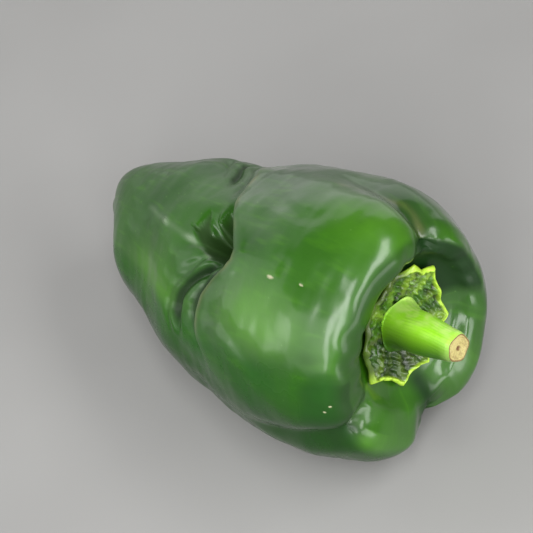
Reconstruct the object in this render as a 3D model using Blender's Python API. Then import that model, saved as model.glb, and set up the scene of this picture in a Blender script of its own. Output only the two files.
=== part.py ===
"""A poblano pepper, picked and lying on its side: the pod, the calyx set in its crown and the cut stem.

Metres, +Z up, standing on Z = 0. The pepper is drawn round its own axis, which runs from the blossom
tip to the crown and leans up towards +X, because the tapering pod lies on the lower lobes of its wide
end. Each point has a radius out from that axis, a height along it, and an angle round it, counted
from the top towards the front (-Y).
"""

import math

import bmesh
import bpy
import numpy as np

# Driving dimensions of the pod, over its lobes
POD_LENGTH = 0.100
POD_RADIUS = 0.0318

# The pod's side from the blossom tip over the crest of the crown to the middle of its hollow:
# (share of POD_RADIUS, share of POD_LENGTH), at even steps of the way
POD_PROFILE = (
    (0.0, 0.0),
    (0.075, 0.014),
    (0.215, 0.056),
    (0.40, 0.115),
    (0.545, 0.194),
    (0.65, 0.290),
    (0.755, 0.416),
    (0.865, 0.547),
    (0.965, 0.687),
    (1.0, 0.800),
    (0.985, 0.892),
    (0.895, 0.965),
    (0.785, 1.0),
    (0.665, 1.003),
    (0.565, 0.985),
    (0.49, 0.950),
    (0.31, 0.927),
    (0.13, 0.914),
    (0.0, 0.912),
)

# Shares of that way: where the crest is, where the hollow's wall starts, and where it reaches the calyx
CREST_SHARE = 12.2 / 18
WALL_SHARE = 13.0 / 18
CALYX_SHARE = 15.0 / 18

# The pod's middle swings off the axis towards SWAY_ANGLE: how far, at even steps from the tip to the crest
SWAY_ANGLE = 126.0
SWAY = (0.0, -0.0006, 0.0031, 0.0028, 0.0026)

# Slow swells and hollows of the wall: (angle in degrees, height, half width in degrees, half length, rise)
SWELLS = (
    (2.0, 0.0105, 27.0, 0.0080, 0.0018),
    (70.0, 0.0100, 30.0, 0.0075, -0.0018),
    (-36.0, 0.0245, 26.0, 0.0080, -0.0018),
    (100.0, 0.0330, 28.0, 0.0100, 0.0013),
    (-42.0, 0.0570, 18.0, 0.0090, 0.0010),
    (129.0, 0.0880, 20.0, 0.0100, -0.0011),
)

# Furrows between the lobes: (angle and half width in degrees, depth, height where each one starts).
# They are at full depth from FURROW_TOP on
FURROWS = (
    (-31.0, 9.0, 0.0045, 0.066),
    (106.0, 9.0, 0.0045, 0.064),
    (180.0, 16.0, 0.0055, 0.022),
    (232.0, 75.0, 0.0016, 0.080),
    (284.0, 18.0, 0.0013, 0.060),
)
FURROW_TOP = 0.98 * POD_LENGTH

# The crease across the large lobe, which the wide part of the pod overhangs: (angle in degrees, height)
CREASE = (
    (-34.0, 0.0475),
    (-20.0, 0.0525),
    (-9.0, 0.0545),
    (0.0, 0.0560),
    (8.0, 0.0580),
    (16.0, 0.0622),
    (24.0, 0.0660),
    (32.0, 0.0698),
    (38.0, 0.0658),
    (45.0, 0.0627),
    (52.0, 0.0613),
    (62.0, 0.0607),
    (80.0, 0.0650),
)
CREASE_STEP = 0.0024
CREASE_EDGE = 0.0013
CREASE_REACH = 0.012
CREASE_ENDS = (-16.0, 62.0)
CREASE_FADE = 20.0

# Wrinkles beside the crease, on the side of the blossom tip: (angles of its two ends, how far from the
# crease it is at each, depth, half width)
WRINKLES = (
    ((38.0, 64.0), (0.0022, 0.0026), 0.0012, 0.0011),
    ((40.0, 66.0), (0.0068, 0.0108), 0.0017, 0.0014),
    ((-38.0, -18.0), (0.0066, 0.0080), 0.0009, 0.0012),
)
WRINKLE_FADE = 12.0

# The dimple in the crease: how deep and long it is, where it is at full depth and where its steep wall
# starts and ends, past the crease, and its angle and half width at its narrow end and at the wall
DIMPLE_DEPTH = 0.0095
DIMPLE_LENGTH = 0.0160
DIMPLE_BOTTOM = -0.0055
DIMPLE_WALL = (-0.0020, 0.0006)
DIMPLE_ANGLES = (27.0, 21.0)
DIMPLE_WIDTHS = (0.0022, 0.0064)

# The tongue of skin that hangs into the dimple: (angles of its two ends, how far from the crease it is at
# each), its half width, how much of the dimple's depth it fills, and the angles that it thins out between
TONGUE = ((8.0, 22.0), (0.0046, 0.0090))
TONGUE_WIDTH = 0.0014
TONGUE_SHARE = 0.88
TONGUE_TIP = (16.0, 23.0)

# The axis leans up by LEAN from +X, and the blossom tip is at TIP. What would be under the floor
# is pressed flat
LEAN = math.radians(10.0)
TIP = np.array((-0.0565, 0.0025, 0.0171))
AXIS = np.array((math.cos(LEAN), 0.0, math.sin(LEAN)))
UP = np.array((-math.sin(LEAN), 0.0, math.cos(LEAN)))
FRONT = np.array((0.0, -1.0, 0.0))

# The calyx is a thin scalloped dish, set a little aside, with a tooth at each of the angles of TEETH. From
# MARGIN_START of the way out it lifts off the pod and thins
CALYX_GAP = 0.0004
CALYX_THICKNESS = 0.0011
CALYX_RADIUS = 0.0132
CALYX_ASIDE = 0.0016
CALYX_ANGLE = 30.0
MARGIN_START = 0.55
MARGIN_LIFT = 0.0008
MARGIN_THINNING = 0.5
TOOTH_LENGTH = 0.0020
TOOTH_WIDTH = 15.0
TEETH = (-168.0, -115.0, -52.0, -24.0, 36.0, 108.0, 153.0)

# The stem leaves the calyx leaning towards STEM_ANGLE and straightens on its way to the cut. Its
# radius is given at even steps of the way, and it has a few soft ribs
STEM_GAP = 0.0004
STEM_LENGTH = 0.0230
STEM_ANGLE = 36.0
STEM_LEANS = (34.0, 6.0)
STEM_RADII = (0.0063, 0.0051, 0.0047, 0.0045, 0.0041, 0.0036, 0.0032)
STEM_RIBS = 5
RIB_SHARE = 0.04
FOOT_SHARE = 0.14

# How finely each surface is divided: (segments round, rings along)
POD_GRID = (80, 70)
CALYX_GRID = (60, 14)
STEM_GRID = (30, 24)
CAP_RINGS = 2

# Rings of the pod lie closer together round the crease and over the crest: (share of the rings, share of
# the way). The ring at CREASE_RING follows the crease, and its neighbours bend with it as far as RING_ENDS
POD_RINGS = ((0.0, 0.0), (0.20, 0.29), (0.36, 0.395), (0.50, 0.46), (0.62, 0.58), (0.87, 0.85), (1.0, 1.0))
CREASE_RING = 0.44
RING_ENDS = (0.10, 0.62)
RING_FADE = 50.0


def smooth_step(value, start, end):
    """0 up to start, 1 from end, and an even S between them."""
    share = np.clip((value - start) / (end - start), 0.0, 1.0)
    return share * share * (3.0 - 2.0 * share)


def between(value, ends, fade):
    """1 between the two ends, and 0 from fade outside them."""
    start, end = ends
    return smooth_step(value, start - fade, start) * (1.0 - smooth_step(value, end, end + fade))


def bell(value, width):
    """1 at 0, falling evenly to both sides."""
    return np.exp(-((value / width) ** 2))


def spline(points, share):
    """Catmull-Rom curve through points, which are evenly spaced in share from 0 to 1."""
    points = np.asarray(points, float)
    padded = np.concatenate((2 * points[:1] - points[1:2], points, 2 * points[-1:] - points[-2:-1]))
    along = np.clip(share, 0.0, 1.0) * (len(points) - 1)
    first = np.minimum(along.astype(int), len(points) - 2)
    t = (along - first).reshape(along.shape + (1,) * (points.ndim - 1))
    a, b, c, d = (padded[first + step] for step in range(4))
    return 0.5 * (2 * b + (c - a) * t + (2 * a - 5 * b + 4 * c - d) * t**2 + (3 * b - a - 3 * c + d) * t**3)


def turn_from(angle, centre):
    """How far an angle in radians is from a direction in degrees, in degrees from -180 to 180."""
    return (np.degrees(angle) - centre + 180.0) % 360.0 - 180.0


def outwards(angle):
    """Direction out from the axis at an angle."""
    return np.cos(angle)[..., None] * UP + np.sin(angle)[..., None] * FRONT


def place(radius, height, angle):
    """World points from radius, height along the axis and angle round it."""
    return TIP + height[..., None] * AXIS + radius[..., None] * outwards(angle)


def furrow_depth(share, height, angle):
    """Depth of the furrows that part the lobes: deepest over the crest, gone at the calyx."""
    depth = 0.0
    outside = 1.0 - smooth_step(share, WALL_SHARE, CALYX_SHARE)
    for centre, half_width, deepest, start in FURROWS:
        across = np.exp(-np.abs(turn_from(angle, centre) / half_width) ** 1.5)
        depth = depth + deepest * across * smooth_step(height, start, FURROW_TOP) * outside
    return depth


def wall_swell(share, height, angle):
    """How far the slow swells lift the wall."""
    rise = 0.0
    outside = 1.0 - smooth_step(share, WALL_SHARE, CALYX_SHARE)
    for centre, level, half_width, half_length, highest in SWELLS:
        across = bell(turn_from(angle, centre), half_width)
        rise = rise + highest * across * bell(height - level, half_length) * outside
    return rise


def crease_height(turn):
    """Height of the crease at an angle in degrees, with its corners rounded."""
    return sum(np.interp(turn + nudge, *zip(*CREASE)) for nudge in (-4.0, 0.0, 4.0)) / 3.0


def dimple_share(turn, past, radius):
    """How deep in the dimple a point is, from 0 to 1. Its steep wall faces the blossom tip."""
    reach = np.clip(1.0 + past / DIMPLE_LENGTH, 0.0, 1.0)
    centre, width = (first + (last - first) * reach for first, last in (DIMPLE_ANGLES, DIMPLE_WIDTHS))
    sides = np.exp(-np.abs(np.radians(turn - centre) * radius / width) ** 3)
    ends = smooth_step(past, -DIMPLE_LENGTH, DIMPLE_BOTTOM) * (1.0 - smooth_step(past, *DIMPLE_WALL))
    angles, asides = TONGUE
    tongue = bell(past + np.interp(turn, angles, asides), TONGUE_WIDTH) * (1.0 - smooth_step(turn, *TONGUE_TIP))
    return sides * ends * (1.0 - TONGUE_SHARE * tongue)


def crease_swelling(share, radius, height, angle):
    """The crease's step, less its wrinkles and the dimple."""
    turn = turn_from(angle, 0.0)
    past = height - crease_height(turn)
    step = (smooth_step(past, -CREASE_EDGE, CREASE_EDGE) - 0.5) * bell(past, CREASE_REACH)
    swelling = CREASE_STEP * step * between(turn, CREASE_ENDS, CREASE_FADE)

    for ends, asides, depth, width in WRINKLES:
        aside = past + np.interp(turn, ends, asides)
        swelling = swelling - depth * bell(aside, width) * between(turn, ends, WRINKLE_FADE)

    return (swelling - DIMPLE_DEPTH * dimple_share(turn, past, radius)) * (share < CREST_SHARE)


def pod_points(share, angle, lift=0.0):
    """Points of the pod's skin, from share 0 at the blossom tip to 1 in the middle of the crown's hollow.

    The skin stands out from the profile's curve, square to it, by the crease's swelling, the wall's slow
    swells and lift, less the furrows' depth.
    """
    sizes = np.array((POD_RADIUS, POD_LENGTH))
    step = 1e-4
    radius, height = np.moveaxis(spline(POD_PROFILE, share) * sizes, -1, 0)
    ahead = spline(POD_PROFILE, np.minimum(share + step, 1.0)) * sizes
    behind = spline(POD_PROFILE, np.maximum(share - step, 0.0)) * sizes
    along = ahead - behind
    along = along / np.linalg.norm(along, axis=-1, keepdims=True)
    out_radius, out_height = along[..., 1], -along[..., 0]
    swelling = crease_swelling(share, radius, height, angle) + wall_swell(share, height, angle)
    swelling = swelling - furrow_depth(share, height, angle) + lift
    points = place(radius + swelling * out_radius, height + swelling * out_height, angle)
    sway = spline(SWAY, height / POD_LENGTH) * (1.0 - smooth_step(share, CREST_SHARE, CALYX_SHARE))
    points = points + sway[..., None] * outwards(np.full(sway.shape, math.radians(SWAY_ANGLE)))
    points[..., 2] = np.maximum(points[..., 2], 0.0)
    return points


def pod_rings(share, angle):
    """Where the pod's rings lie: spread as POD_RINGS says, and bent to run along the crease."""
    share = np.interp(share, *zip(*POD_RINGS))
    turn = turn_from(angle, 0.0)
    table = np.linspace(0.0, CREST_SHARE, 200)
    along = np.interp(crease_height(turn), spline(POD_PROFILE, table)[:, 1] * POD_LENGTH, table)
    first, last = RING_ENDS
    bend = smooth_step(share, first, CREASE_RING) * (1.0 - smooth_step(share, CREASE_RING, last))
    return share + (along - CREASE_RING) * bend * between(turn, CREASE_ENDS, RING_FADE)


def calyx_edge(angle):
    """Radius of the calyx's edge: a circle that is set aside towards CALYX_ANGLE, with its teeth."""
    reach = 0.0
    for tooth in TEETH:
        reach = np.maximum(reach, np.maximum(0.0, 1.0 - np.abs(turn_from(angle, tooth)) / TOOTH_WIDTH) ** 1.3)
    aside = CALYX_ASIDE * np.cos(np.radians(turn_from(angle, CALYX_ANGLE)))
    return CALYX_RADIUS + aside + TOOTH_LENGTH * reach


def crown_share(radius):
    """Share of the pod's side that lies at a radius inside the crown's hollow."""
    table = np.linspace(1.0, CREST_SHARE, 200)
    return np.interp(radius, spline(POD_PROFILE, table)[:, 0] * POD_RADIUS, table)


def calyx_points(share, angle):
    """Points of the calyx: its underside from the middle out to the edge, then its upper side back in."""
    out = 1.0 - np.abs(2.0 * share - 1.0)
    upper = CALYX_THICKNESS * (1.0 - MARGIN_THINNING * smooth_step(out, MARGIN_START, 1.0))
    lift = CALYX_GAP + MARGIN_LIFT * smooth_step(out, MARGIN_START, 1.0) + np.where(share > 0.5, upper, 0.0)
    return pod_points(crown_share(out * calyx_edge(angle)), angle, lift)


def stem_path(along):
    """The stem's middle line from its foot to its cut: distance aside and ahead, and its lean."""
    way = np.linspace(0.0, 1.0, 101)
    lean = np.radians(STEM_LEANS[1] + (STEM_LEANS[0] - STEM_LEANS[1]) * (1.0 - way) ** 1.5)
    stretch = STEM_LENGTH / (len(way) - 1)
    aside = np.concatenate(([0.0], np.cumsum(np.sin(lean[:-1])))) * stretch
    ahead = np.concatenate(([0.0], np.cumsum(np.cos(lean[:-1])))) * stretch
    return (np.interp(along, way, values) for values in (aside, ahead, lean))


def stem_points(share, angle):
    """Points of the stem: its foot from the middle out, its ribbed side up to the cut, and the cut's face.

    The foot lies in the calyx's dish, and the stem's sections turn square to its middle line above it.
    """
    cap = CAP_RINGS / STEM_GRID[1]
    along = np.clip((share - cap) / (1.0 - 2.0 * cap), 0.0, 1.0)
    spread = np.minimum(1.0, np.minimum(share, 1.0 - share) / cap)
    aside, ahead, lean = stem_path(along)
    lean = lean * smooth_step(along, 0.0, FOOT_SHARE)

    radius = spline(STEM_RADII, along) * spread * (1.0 + RIB_SHARE * np.cos(STEM_RIBS * angle))
    dish = spline(POD_PROFILE, crown_share(radius))[..., 1] * POD_LENGTH
    middle = POD_PROFILE[-1][1] * POD_LENGTH
    ahead = ahead + middle + (dish - middle) * (1.0 - smooth_step(along, 0.0, FOOT_SHARE))
    ahead = ahead + CALYX_GAP + CALYX_THICKNESS + STEM_GAP
    towards = radius * np.cos(angle)
    level = np.full(share.shape, math.radians(STEM_ANGLE))
    points = place(aside + towards * np.cos(lean), ahead - towards * np.sin(lean), level)
    return points + (radius * np.sin(angle))[..., None] * outwards(level + math.pi / 2)


def material(name, colour, roughness):
    """A plain Principled material."""
    made = bpy.data.materials.new(name)
    made.use_nodes = True
    shader = made.node_tree.nodes["Principled BSDF"]
    shader.inputs["Base Color"].default_value = (*colour, 1.0)
    shader.inputs["Roughness"].default_value = roughness
    return made


def shaped_sphere(name, grid, shape, skin, collection):
    """An object made from a UV sphere, whose vertices shape(share, angle) puts in place."""
    mesh = bpy.data.meshes.new(name)
    work = bmesh.new()
    bmesh.ops.create_uvsphere(work, u_segments=grid[0], v_segments=grid[1], radius=1.0)
    work.to_mesh(mesh)
    work.free()
    ball = np.empty(len(mesh.vertices) * 3, np.float32)
    mesh.vertices.foreach_get("co", ball)
    ball = ball.reshape(-1, 3).astype(float)
    share = np.arccos(np.clip(-ball[:, 2], -1.0, 1.0)) / math.pi
    points = shape(share, np.arctan2(ball[:, 1], ball[:, 0]))
    mesh.vertices.foreach_set("co", points.astype(np.float32).ravel())
    mesh.shade_smooth()
    mesh.materials.append(skin)
    made = bpy.data.objects.new(name, mesh)
    collection.objects.link(made)
    return made


def pod(collection):
    """The pod: the fleshy body with its lobes, crease and dimple, hollowed at the crown."""
    skin = material("pod skin", (0.020, 0.085, 0.012), 0.28)

    def shape(share, angle):
        return pod_points(pod_rings(share, angle), angle)

    shaped_sphere("pod", POD_GRID, shape, skin, collection)


def calyx(collection):
    """The calyx: the scalloped green dish that sits in the crown, round the foot of the stem."""
    skin = material("calyx green", (0.10, 0.26, 0.03), 0.5)
    shaped_sphere("calyx", CALYX_GRID, calyx_points, skin, collection)


def stem(collection):
    """The stem: thick at its foot, bent, softly ribbed, and cut flat."""
    skin = material("stem green", (0.22, 0.48, 0.02), 0.4)
    shaped_sphere("stem", STEM_GRID, stem_points, skin, collection)


def main():
    for old in list(bpy.data.objects):
        bpy.data.objects.remove(old)
    collection = bpy.data.collections.new("poblano pepper")
    bpy.context.scene.collection.children.link(collection)
    pod(collection)
    calyx(collection)
    stem(collection)


main()
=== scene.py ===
# %% [markdown]
# # A poblano pepper, from a few formulas
#
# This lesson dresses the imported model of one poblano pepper, which lies on its side: a glossy, lobed
# pod, a scalloped green calyx in its crown, and a bent stem that was cut off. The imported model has
# the true sizes but coarse facets. Here each of its three solids is replaced by a fine surface with
# the same form, on which the small things grow: wrinkles, hoops, ribs, fibres and scars.
#
# A pepper could be sculpted by hand, or scanned. We compute it: every surface is a function of two
# parameters, worked out for a whole grid at once. The numbers then stay few and keep their meaning,
# and any of them can be changed and run again.

import math

import bpy
import numpy as np
from mathutils import Matrix, Vector


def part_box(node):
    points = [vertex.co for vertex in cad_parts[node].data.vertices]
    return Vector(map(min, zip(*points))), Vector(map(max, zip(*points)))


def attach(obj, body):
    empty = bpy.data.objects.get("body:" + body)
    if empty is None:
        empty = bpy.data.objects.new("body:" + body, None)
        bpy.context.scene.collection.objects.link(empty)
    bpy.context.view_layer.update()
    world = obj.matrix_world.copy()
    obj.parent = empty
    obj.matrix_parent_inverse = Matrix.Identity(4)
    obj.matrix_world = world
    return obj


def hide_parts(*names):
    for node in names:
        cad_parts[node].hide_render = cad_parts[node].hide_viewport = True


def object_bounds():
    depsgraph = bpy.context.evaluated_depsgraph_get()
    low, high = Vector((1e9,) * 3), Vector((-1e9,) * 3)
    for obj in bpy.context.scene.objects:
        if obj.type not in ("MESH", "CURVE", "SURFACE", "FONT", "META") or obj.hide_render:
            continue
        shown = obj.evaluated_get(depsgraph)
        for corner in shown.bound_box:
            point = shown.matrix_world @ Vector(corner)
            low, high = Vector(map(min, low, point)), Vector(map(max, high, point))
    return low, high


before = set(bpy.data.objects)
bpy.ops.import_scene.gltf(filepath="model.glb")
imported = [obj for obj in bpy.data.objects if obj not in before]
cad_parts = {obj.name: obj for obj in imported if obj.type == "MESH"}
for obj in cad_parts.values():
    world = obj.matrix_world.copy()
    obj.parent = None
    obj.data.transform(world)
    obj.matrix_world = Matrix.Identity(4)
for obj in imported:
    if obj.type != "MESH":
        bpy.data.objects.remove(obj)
cad_box = [list(corner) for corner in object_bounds()]
print("packed nodes:", sorted(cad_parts))
print("box in mm:", [[round(value * 1000, 1) for value in corner] for corner in cad_box])

# %% [markdown]
# ## The camera
#
# The camera comes first, because it says what will be seen. It stands where the photographer stood,
# up in front of the pepper on the side of its stem, and it is tipped a little, as a camera held in
# the hand is. A long lens keeps the pepper's proportions true.

# %% Place the camera
CAMERA_AZIMUTH = math.radians(50.02)
CAMERA_ELEVATION = math.radians(45.92)
CAMERA_ROLL = math.radians(-11.52)
CAMERA_DISTANCE = 0.52
VIEW_WIDTH = 0.120
SENSOR_WIDTH = 36.0


def direction(azimuth, elevation):
    """Unit vector towards an azimuth, counted from -Y towards +X, and an elevation above the floor."""
    level = math.cos(elevation)
    return Vector((math.sin(azimuth) * level, -math.cos(azimuth) * level, math.sin(elevation)))


def camera_axes():
    """The image's right and up, and the way back to the camera."""
    back = direction(CAMERA_AZIMUTH, CAMERA_ELEVATION)
    level_right = Vector((math.cos(CAMERA_AZIMUTH), math.sin(CAMERA_AZIMUTH), 0.0))
    level_up = back.cross(level_right)
    right = level_right * math.cos(CAMERA_ROLL) + level_up * math.sin(CAMERA_ROLL)
    return right, back.cross(right), back


image_right, image_up, camera_back = camera_axes()
middle = (Vector(cad_box[0]) + Vector(cad_box[1])) / 2
AIM_ASIDE = -0.0015
AIM_UP = 0.0010
aim = middle + image_right * AIM_ASIDE + image_up * AIM_UP

camera = bpy.data.objects.new("camera", bpy.data.cameras.new("camera"))
turned = Matrix((image_right, image_up, camera_back)).transposed().to_4x4()
camera.matrix_world = Matrix.Translation(aim + camera_back * CAMERA_DISTANCE) @ turned
camera.data.sensor_width = SENSOR_WIDTH
camera.data.lens = SENSOR_WIDTH * CAMERA_DISTANCE / VIEW_WIDTH
camera.data.clip_start = 0.01
bpy.context.scene.collection.objects.link(camera)
bpy.context.scene.camera = camera
print("lens in mm:", round(camera.data.lens, 1))

# %% [markdown]
# ## Helpers for curves and fields
#
# Everything below is made from five small tools: an S-shaped step, a window made of two steps, a bell,
# a smooth curve through a few points, and a random field for whatever grew unevenly. The field is a
# sum of plane waves in random directions. Noise from a table would do as well, but waves are three
# lines, they have no grid that could show, and a seed makes them the same on every run.

# %% Helpers for curves and fields
TAU = 2.0 * math.pi


def smooth_step(value, start, end):
    """0 up to start, 1 from end. Between them t^2 (3 - 2 t), with t the share of the way."""
    share = np.clip((value - start) / (end - start), 0.0, 1.0)
    return share * share * (3.0 - 2.0 * share)


def between(value, ends, fade):
    """1 between the two ends and 0 from fade outside them: one step up times one step down."""
    start, end = ends
    return smooth_step(value, start - fade, start) * (1.0 - smooth_step(value, end, end + fade))


def bell(value, width):
    """1 at 0, falling to both sides as exp(-(value / width)^2)."""
    return np.exp(-((value / width) ** 2))


def spline(points, share):
    """Catmull-Rom curve through points, which are evenly spaced in share from 0 to 1."""
    points = np.asarray(points, float)
    padded = np.concatenate((2 * points[:1] - points[1:2], points, 2 * points[-1:] - points[-2:-1]))
    along = np.clip(share, 0.0, 1.0) * (len(points) - 1)
    first = np.minimum(along.astype(int), len(points) - 2)
    t = (along - first).reshape(along.shape + (1,) * (points.ndim - 1))
    a, b, c, d = (padded[first + step] for step in range(4))
    return 0.5 * (2 * b + (c - a) * t + (2 * a - 5 * b + 4 * c - d) * t**2 + (3 * b - a - 3 * c + d) * t**3)


def waves(points, lengths, count, seed):
    """A smooth random field, mostly from -1 to 1: the sum of sin(TAU p.d / length + phase) over count
    random directions d, lengths and phases, times the root of 2 / count."""
    draw = np.random.default_rng(seed)
    directions = draw.normal(size=(count, 3))
    directions /= np.linalg.norm(directions, axis=1, keepdims=True)
    spans = draw.uniform(*lengths, size=count)
    phases = draw.uniform(0.0, TAU, size=count)
    total = np.zeros(points.shape[:-1])
    for way, span, phase in zip(directions, spans, phases):
        total += np.sin(TAU * (points @ way) / span + phase)
    return total * math.sqrt(2.0 / count)


def surface_grid(rings, segments):
    """Two arrays of rings x segments: the share of the way from pole to pole, and the angle round."""
    share = np.linspace(0.0, 1.0, rings)[:, None]
    angle = np.linspace(-math.pi, math.pi, segments, endpoint=False)[None, :]
    return np.broadcast_arrays(share, angle)


def closed_mesh(name, points):
    """A mesh from a rings x segments grid of points, whose first and last rings are poles.

    Each inner ring is joined to the next by quads, which run round without a seam, and the two end
    rings shrink to one vertex each, which a fan of triangles closes. Faces point outwards.
    """
    rings, segments = points.shape[:2]
    inner = points[1:-1].reshape(-1, 3)
    corners = np.concatenate((inner, points[:1, 0], points[-1:, 0]))
    start_pole, end_pole = len(inner), len(inner) + 1
    here = np.arange(segments)
    following = (here + 1) % segments
    row = np.arange(rings - 3)[:, None] * segments
    after = row + segments
    quads = np.stack((row + here, row + following, after + following, after + here), axis=-1)
    last = (rings - 3) * segments
    start_fan = np.stack((np.full(segments, start_pole), following, here), axis=-1)
    end_fan = np.stack((np.full(segments, end_pole), last + here, last + following), axis=-1)
    faces = quads.reshape(-1, 4).tolist() + start_fan.tolist() + end_fan.tolist()
    mesh = bpy.data.meshes.new(name)
    mesh.from_pydata(corners.tolist(), [], faces)
    mesh.shade_smooth()
    mesh.update()
    return mesh


def store(mesh, **fields):
    """Keeps fields for a closed mesh's material to read: one number, or one vector, for each point."""
    for name, grid in fields.items():
        values = np.concatenate((grid[1:-1].reshape(-1, *grid.shape[2:]), grid[:1, 0], grid[-1:, 0]))
        kind, field = ("FLOAT_VECTOR", "vector") if values.ndim == 2 else ("FLOAT", "value")
        attribute = mesh.attributes.new(name, kind, "POINT")
        attribute.data.foreach_set(field, values.astype(np.float32).ravel())


def add_piece(name, mesh, node):
    """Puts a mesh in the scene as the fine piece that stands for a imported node."""
    piece = bpy.data.objects.new(name, mesh)
    bpy.context.scene.collection.objects.link(piece)
    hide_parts(node)
    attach(piece, "root")
    low, high = (np.array(corner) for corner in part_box(node))
    size = np.array([vertex.co for vertex in mesh.vertices])
    grown = max(0.0, (size.max(0) - high).max(), (low - size.min(0)).max())
    print(f"{name}: {sum(len(p.vertices) - 2 for p in mesh.polygons)} triangles,",
          f"at most {grown * 1000:.2f} mm outside its packed box")
    return piece


# %% [markdown]
# ## The form of the pod
#
# A poblano is a cone with wide shoulders. Its side is one smooth curve, from the blossom tip over the
# crest of the crown and down into the hollow where the calyx sits. Turned round the axis, that curve
# gives the plain body. Then furrows part the lobes, a crease crosses the big lobe, and a dimple is
# pinched into the crease. The axis leans, because the tapering body lies on its wide end.
#
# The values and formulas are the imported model's own, so the fine skin has the same form.

# %% Driving values of the pod
POD_LENGTH = 0.100
POD_RADIUS = 0.0318

# The side, at even steps of the way: (share of POD_RADIUS, share of POD_LENGTH)
POD_PROFILE = (
    (0.0, 0.0), (0.075, 0.014), (0.215, 0.056), (0.40, 0.115), (0.545, 0.194), (0.65, 0.290),
    (0.755, 0.416), (0.865, 0.547), (0.965, 0.687), (1.0, 0.800), (0.985, 0.892), (0.895, 0.965),
    (0.785, 1.0), (0.665, 1.003), (0.565, 0.985), (0.49, 0.950), (0.31, 0.927), (0.13, 0.914),
    (0.0, 0.912),
)

# Shares of the way: at the crest, at the top of the crown's inner wall, and at the calyx's edge
CREST_SHARE = 12.2 / 18
WALL_SHARE = 13.0 / 18
CALYX_SHARE = 15.0 / 18

# How far the middle swings off the axis towards SWAY_ANGLE, at even steps from the tip to the crest
SWAY_ANGLE = 126.0
SWAY = (0.0, -0.0006, 0.0031, 0.0028, 0.0026)

# Slow swells and hollows of the wall: (angle in degrees, height, half width in degrees, half length, rise)
SWELLS = (
    (2.0, 0.0105, 27.0, 0.0080, 0.0018),
    (70.0, 0.0100, 30.0, 0.0075, -0.0018),
    (-36.0, 0.0245, 26.0, 0.0080, -0.0018),
    (100.0, 0.0330, 28.0, 0.0100, 0.0013),
    (-42.0, 0.0570, 18.0, 0.0090, 0.0010),
    (129.0, 0.0880, 20.0, 0.0100, -0.0011),
)

# Furrows: (angle and half width in degrees, depth, height where each one starts)
FURROWS = (
    (-31.0, 9.0, 0.0045, 0.066),
    (106.0, 9.0, 0.0045, 0.064),
    (180.0, 16.0, 0.0055, 0.022),
    (232.0, 75.0, 0.0016, 0.080),
    (284.0, 18.0, 0.0013, 0.060),
)
FURROW_TOP = 0.98 * POD_LENGTH

# The crease: (angle in degrees, height)
CREASE = (
    (-34.0, 0.0475), (-20.0, 0.0525), (-9.0, 0.0545), (0.0, 0.0560), (8.0, 0.0580), (16.0, 0.0622),
    (24.0, 0.0660), (32.0, 0.0698), (38.0, 0.0658), (45.0, 0.0627), (52.0, 0.0613), (62.0, 0.0607),
    (80.0, 0.0650),
)
CREASE_STEP = 0.0024
CREASE_EDGE = 0.0013
CREASE_REACH = 0.012
CREASE_ENDS = (-16.0, 62.0)
CREASE_FADE = 20.0

# Wrinkles beside the crease: (angles of its two ends, how far from the crease it is at each, depth, width)
WRINKLES = (
    ((38.0, 64.0), (0.0022, 0.0026), 0.0012, 0.0011),
    ((40.0, 66.0), (0.0068, 0.0108), 0.0017, 0.0014),
    ((-38.0, -18.0), (0.0066, 0.0080), 0.0009, 0.0012),
)
WRINKLE_FADE = 12.0

# The dimple: its last two values are given for its narrow end and for its wall
DIMPLE_DEPTH = 0.0095
DIMPLE_LENGTH = 0.0160
DIMPLE_BOTTOM = -0.0055
DIMPLE_WALL = (-0.0020, 0.0006)
DIMPLE_ANGLES = (27.0, 21.0)
DIMPLE_WIDTHS = (0.0022, 0.0064)

# The tongue of skin that hangs into the dimple: (angles of its two ends, how far from the crease it is at
# each), its half width, how much of the dimple's depth it fills, and the angles that it thins out between
TONGUE = ((8.0, 22.0), (0.0046, 0.0090))
TONGUE_WIDTH = 0.0014
TONGUE_SHARE = 0.88
TONGUE_TIP = (16.0, 23.0)

LEAN = math.radians(10.0)
TIP = np.array((-0.0565, 0.0025, 0.0171))
AXIS = np.array((math.cos(LEAN), 0.0, math.sin(LEAN)))
UP = np.array((-math.sin(LEAN), 0.0, math.cos(LEAN)))
FRONT = np.array((0.0, -1.0, 0.0))

# %% The pod's body as a function


def turn_from(angle, centre):
    """How far an angle in radians is from a direction in degrees, in degrees from -180 to 180."""
    return (np.degrees(angle) - centre + 180.0) % 360.0 - 180.0


def outwards(angle):
    """Direction out from the axis: cos(angle) UP + sin(angle) FRONT."""
    return np.cos(angle)[..., None] * UP + np.sin(angle)[..., None] * FRONT


def place(radius, height, angle):
    """World points: TIP + height AXIS + radius outwards(angle)."""
    return TIP + height[..., None] * AXIS + radius[..., None] * outwards(angle)


def furrow_depth(share, height, angle):
    """Depth of the furrows: depth exp(-|turn / half width|^1.5), growing up to the crest and gone at
    the calyx."""
    depth = 0.0
    outside = 1.0 - smooth_step(share, WALL_SHARE, CALYX_SHARE)
    for centre, half_width, deepest, start in FURROWS:
        across = np.exp(-np.abs(turn_from(angle, centre) / half_width) ** 1.5)
        depth += deepest * across * smooth_step(height, start, FURROW_TOP) * outside
    return depth


def wall_swell(share, height, angle):
    """How far the slow swells lift the wall: each is a bell round the pod times a bell along it."""
    rise = 0.0
    outside = 1.0 - smooth_step(share, WALL_SHARE, CALYX_SHARE)
    for centre, level, half_width, half_length, highest in SWELLS:
        across = bell(turn_from(angle, centre), half_width)
        rise += highest * across * bell(height - level, half_length) * outside
    return rise


def crease_height(turn):
    """Height of the crease at an angle in degrees: its points joined up, with the corners rounded."""
    return sum(np.interp(turn + nudge, *zip(*CREASE)) for nudge in (-4.0, 0.0, 4.0)) / 3.0


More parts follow.
